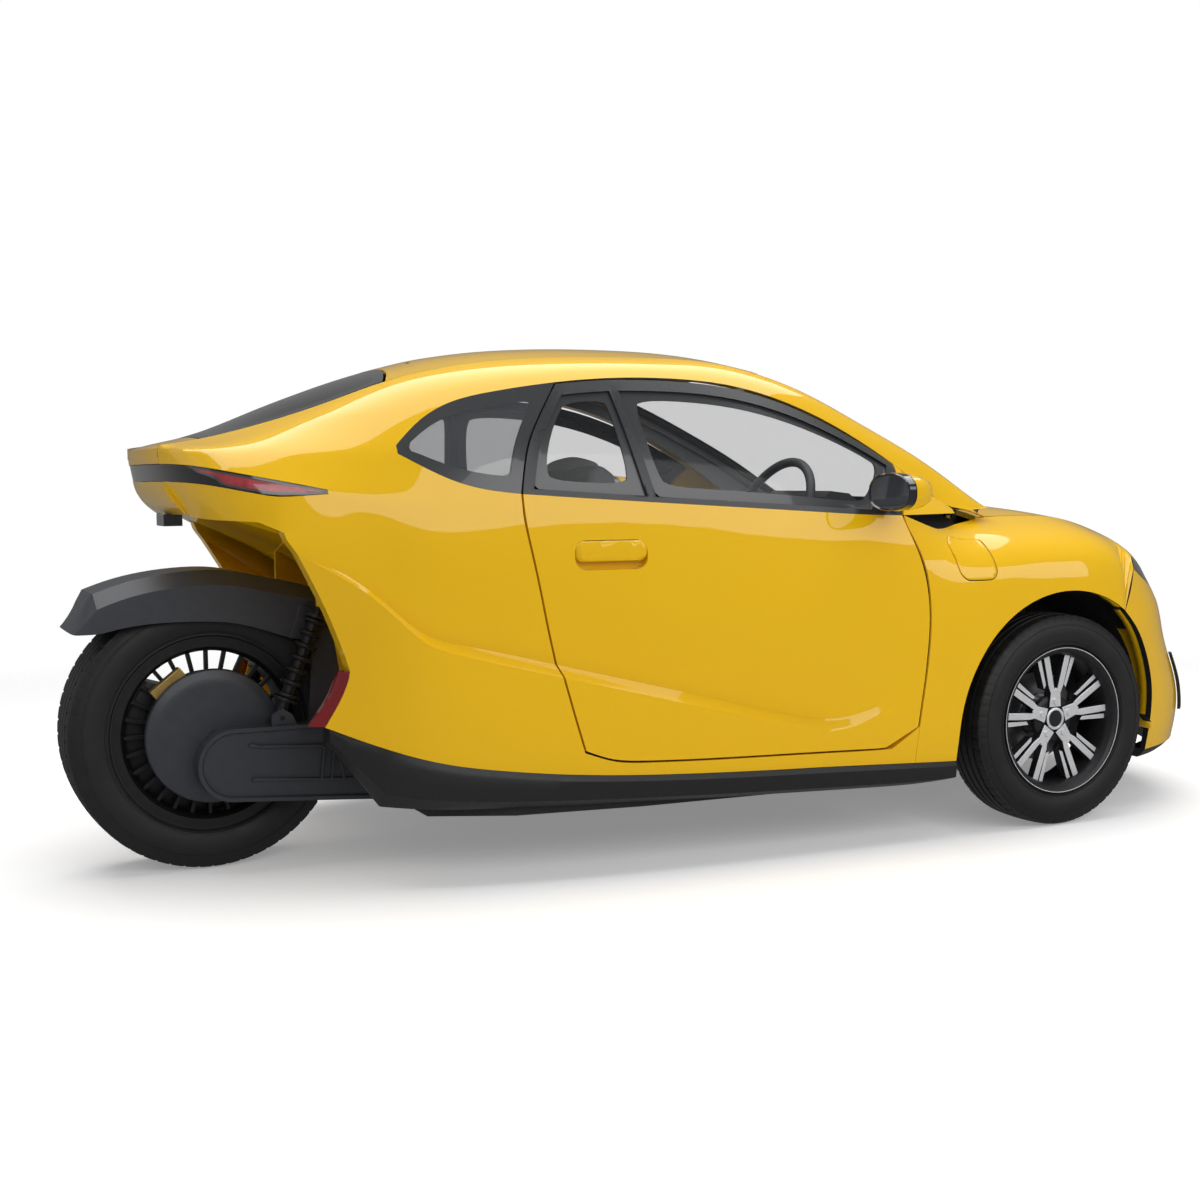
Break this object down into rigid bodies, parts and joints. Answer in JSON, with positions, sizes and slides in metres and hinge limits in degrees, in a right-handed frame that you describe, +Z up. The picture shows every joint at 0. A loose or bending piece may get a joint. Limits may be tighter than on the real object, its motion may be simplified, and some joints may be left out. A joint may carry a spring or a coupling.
{
  "type": "three wheeled car",
  "caption": "Enclosed single-seat car with two steered front wheels, one driven rear wheel on a swing arm, opening doors, bonnet, rear hatch and charging flap.",
  "frame": {"origin": "on the ground under the middle of the car's outline", "axes": "+X forward, +Y to the car's left, +Z up"},
  "size_m": [3.1978, 1.704, 1.2638],
  "materials": {
    "body_paint": "gloss clear coat",
    "black_trim": "fine grain",
    "dark_gloss": "gloss",
    "lamp_red": "gloss",
    "clear_glass": "clear tinted",
    "chassis_steel": "satin coat",
    "battery_case": "satin",
    "cast_grey": "satin coat",
    "alloy": "machined",
    "black_alloy": "satin black",
    "tyre_rubber": "rubber",
    "grey_guard": "satin",
    "gold_caliper": "satin",
    "seat_cloth": "woven"
  },
  "bodies": {
    "body": {"floor_pan": "chassis_steel", "battery_pack": "battery_case", "front_subframe": "chassis_steel", "bodyside_right": "body_paint", "bodyside_left": "body_paint", "roof": "body_paint", "front_fender_right": "body_paint", "front_fender_left": "body_paint", "front_bumper": "body_paint", "bumper_trim": "black_trim", "headlamps": "dark_gloss", "tail_panel": "body_paint", "rear_lamps": "lamp_red", "rear_wheel_wall": "body_paint", "windscreen": "clear_glass", "quarter_windows": "clear_glass", "cowl_trim": "black_trim", "sills": "black_trim", "dashboard": "black_trim", "driver_seat": "seat_cloth", "charge_port": "black_trim", "front_suspension": "chassis_steel", "swing_arm": "cast_grey", "drive_cover": "dark_gloss", "rear_fender": "grey_guard", "rear_shocks": "chassis_steel", "rear_caliper": "gold_caliper"},
    "charge_flap": {"charge_flap": "body_paint"},
    "bonnet": {"bonnet": "body_paint"},
    "rear_hatch": {"rear_hatch": "dark_gloss"},
    "door_right": {"door_right": "body_paint", "door_frame_right": "black_trim", "door_glass_right": "clear_glass", "mirror_right": "body_paint"},
    "door_left": {"door_left": "body_paint", "door_frame_left": "black_trim", "door_glass_left": "clear_glass", "mirror_left": "body_paint"},
    "steering_wheel": {"steering_wheel": "black_trim"},
    "knuckle_right": {"knuckle_right": "cast_grey"},
    "knuckle_left": {"knuckle_left": "cast_grey"},
    "front_wheel_right": {"front_rim_right": "alloy", "front_tyre_right": "tyre_rubber"},
    "front_wheel_left": {"front_rim_left": "alloy", "front_tyre_left": "tyre_rubber"},
    "rear_wheel": {"rear_rim": "black_alloy", "rear_tyre": "tyre_rubber"}
  },
  "joints": [
    {"name": "rear_wheel_spin", "type": "hinge", "parent": "body", "child": "rear_wheel", "pos_m": [-1.271, 0, 0.328], "axis": [0, 1, 0], "continuous": true},
    {"name": "steer_right", "type": "hinge", "parent": "body", "child": "knuckle_right", "pos_m": [0.829, -0.515, 0.28], "axis": [0, 0, 1], "range_deg": [-30, 30]},
    {"name": "steer_left", "type": "hinge", "parent": "body", "child": "knuckle_left", "pos_m": [0.829, 0.515, 0.28], "axis": [0, 0, 1], "range_deg": [-30, 30]},
    {"name": "front_wheel_right_spin", "type": "hinge", "parent": "knuckle_right", "child": "front_wheel_right", "pos_m": [0.829, -0.626, 0.28], "axis": [0, 1, 0], "continuous": true},
    {"name": "front_wheel_left_spin", "type": "hinge", "parent": "knuckle_left", "child": "front_wheel_left", "pos_m": [0.829, 0.626, 0.28], "axis": [0, 1, 0], "continuous": true},
    {"name": "steering_wheel_turn", "type": "hinge", "parent": "body", "child": "steering_wheel", "pos_m": [0.357, 0, 0.806], "axis": [-0.8988, 0, 0.4384], "range_deg": [-481, 481]},
    {"name": "door_right_hinge", "type": "hinge", "parent": "body", "child": "door_right", "pos_m": [0.441, -0.68798, 0.42], "axis": [0, -0.0142, 0.9999], "range_deg": [0, 60]},
    {"name": "door_left_hinge", "type": "hinge", "parent": "body", "child": "door_left", "pos_m": [0.441, 0.68798, 0.42], "axis": [0, -0.0142, -0.9999], "range_deg": [0, 60]},
    {"name": "bonnet_hinge", "type": "hinge", "parent": "body", "child": "bonnet", "pos_m": [0.703, 0, 0.822], "axis": [0, -1, 0], "range_deg": [0, 50]},
    {"name": "rear_hatch_hinge", "type": "hinge", "parent": "body", "child": "rear_hatch", "pos_m": [-0.771, 0, 1.19], "axis": [0, 1, 0], "range_deg": [0, 60]},
    {"name": "charge_flap_hinge", "type": "hinge", "parent": "body", "child": "charge_flap", "pos_m": [0.609, -0.67524, 0.716], "axis": [0, 0.5881, 0.8088], "range_deg": [0, 95]}
  ],
  "couplings": [
    {"joint": "steer_left", "follows": "steer_right", "ratio": 1},
    {"joint": "steering_wheel_turn", "follows": "steer_right", "ratio": 16}
  ]
}
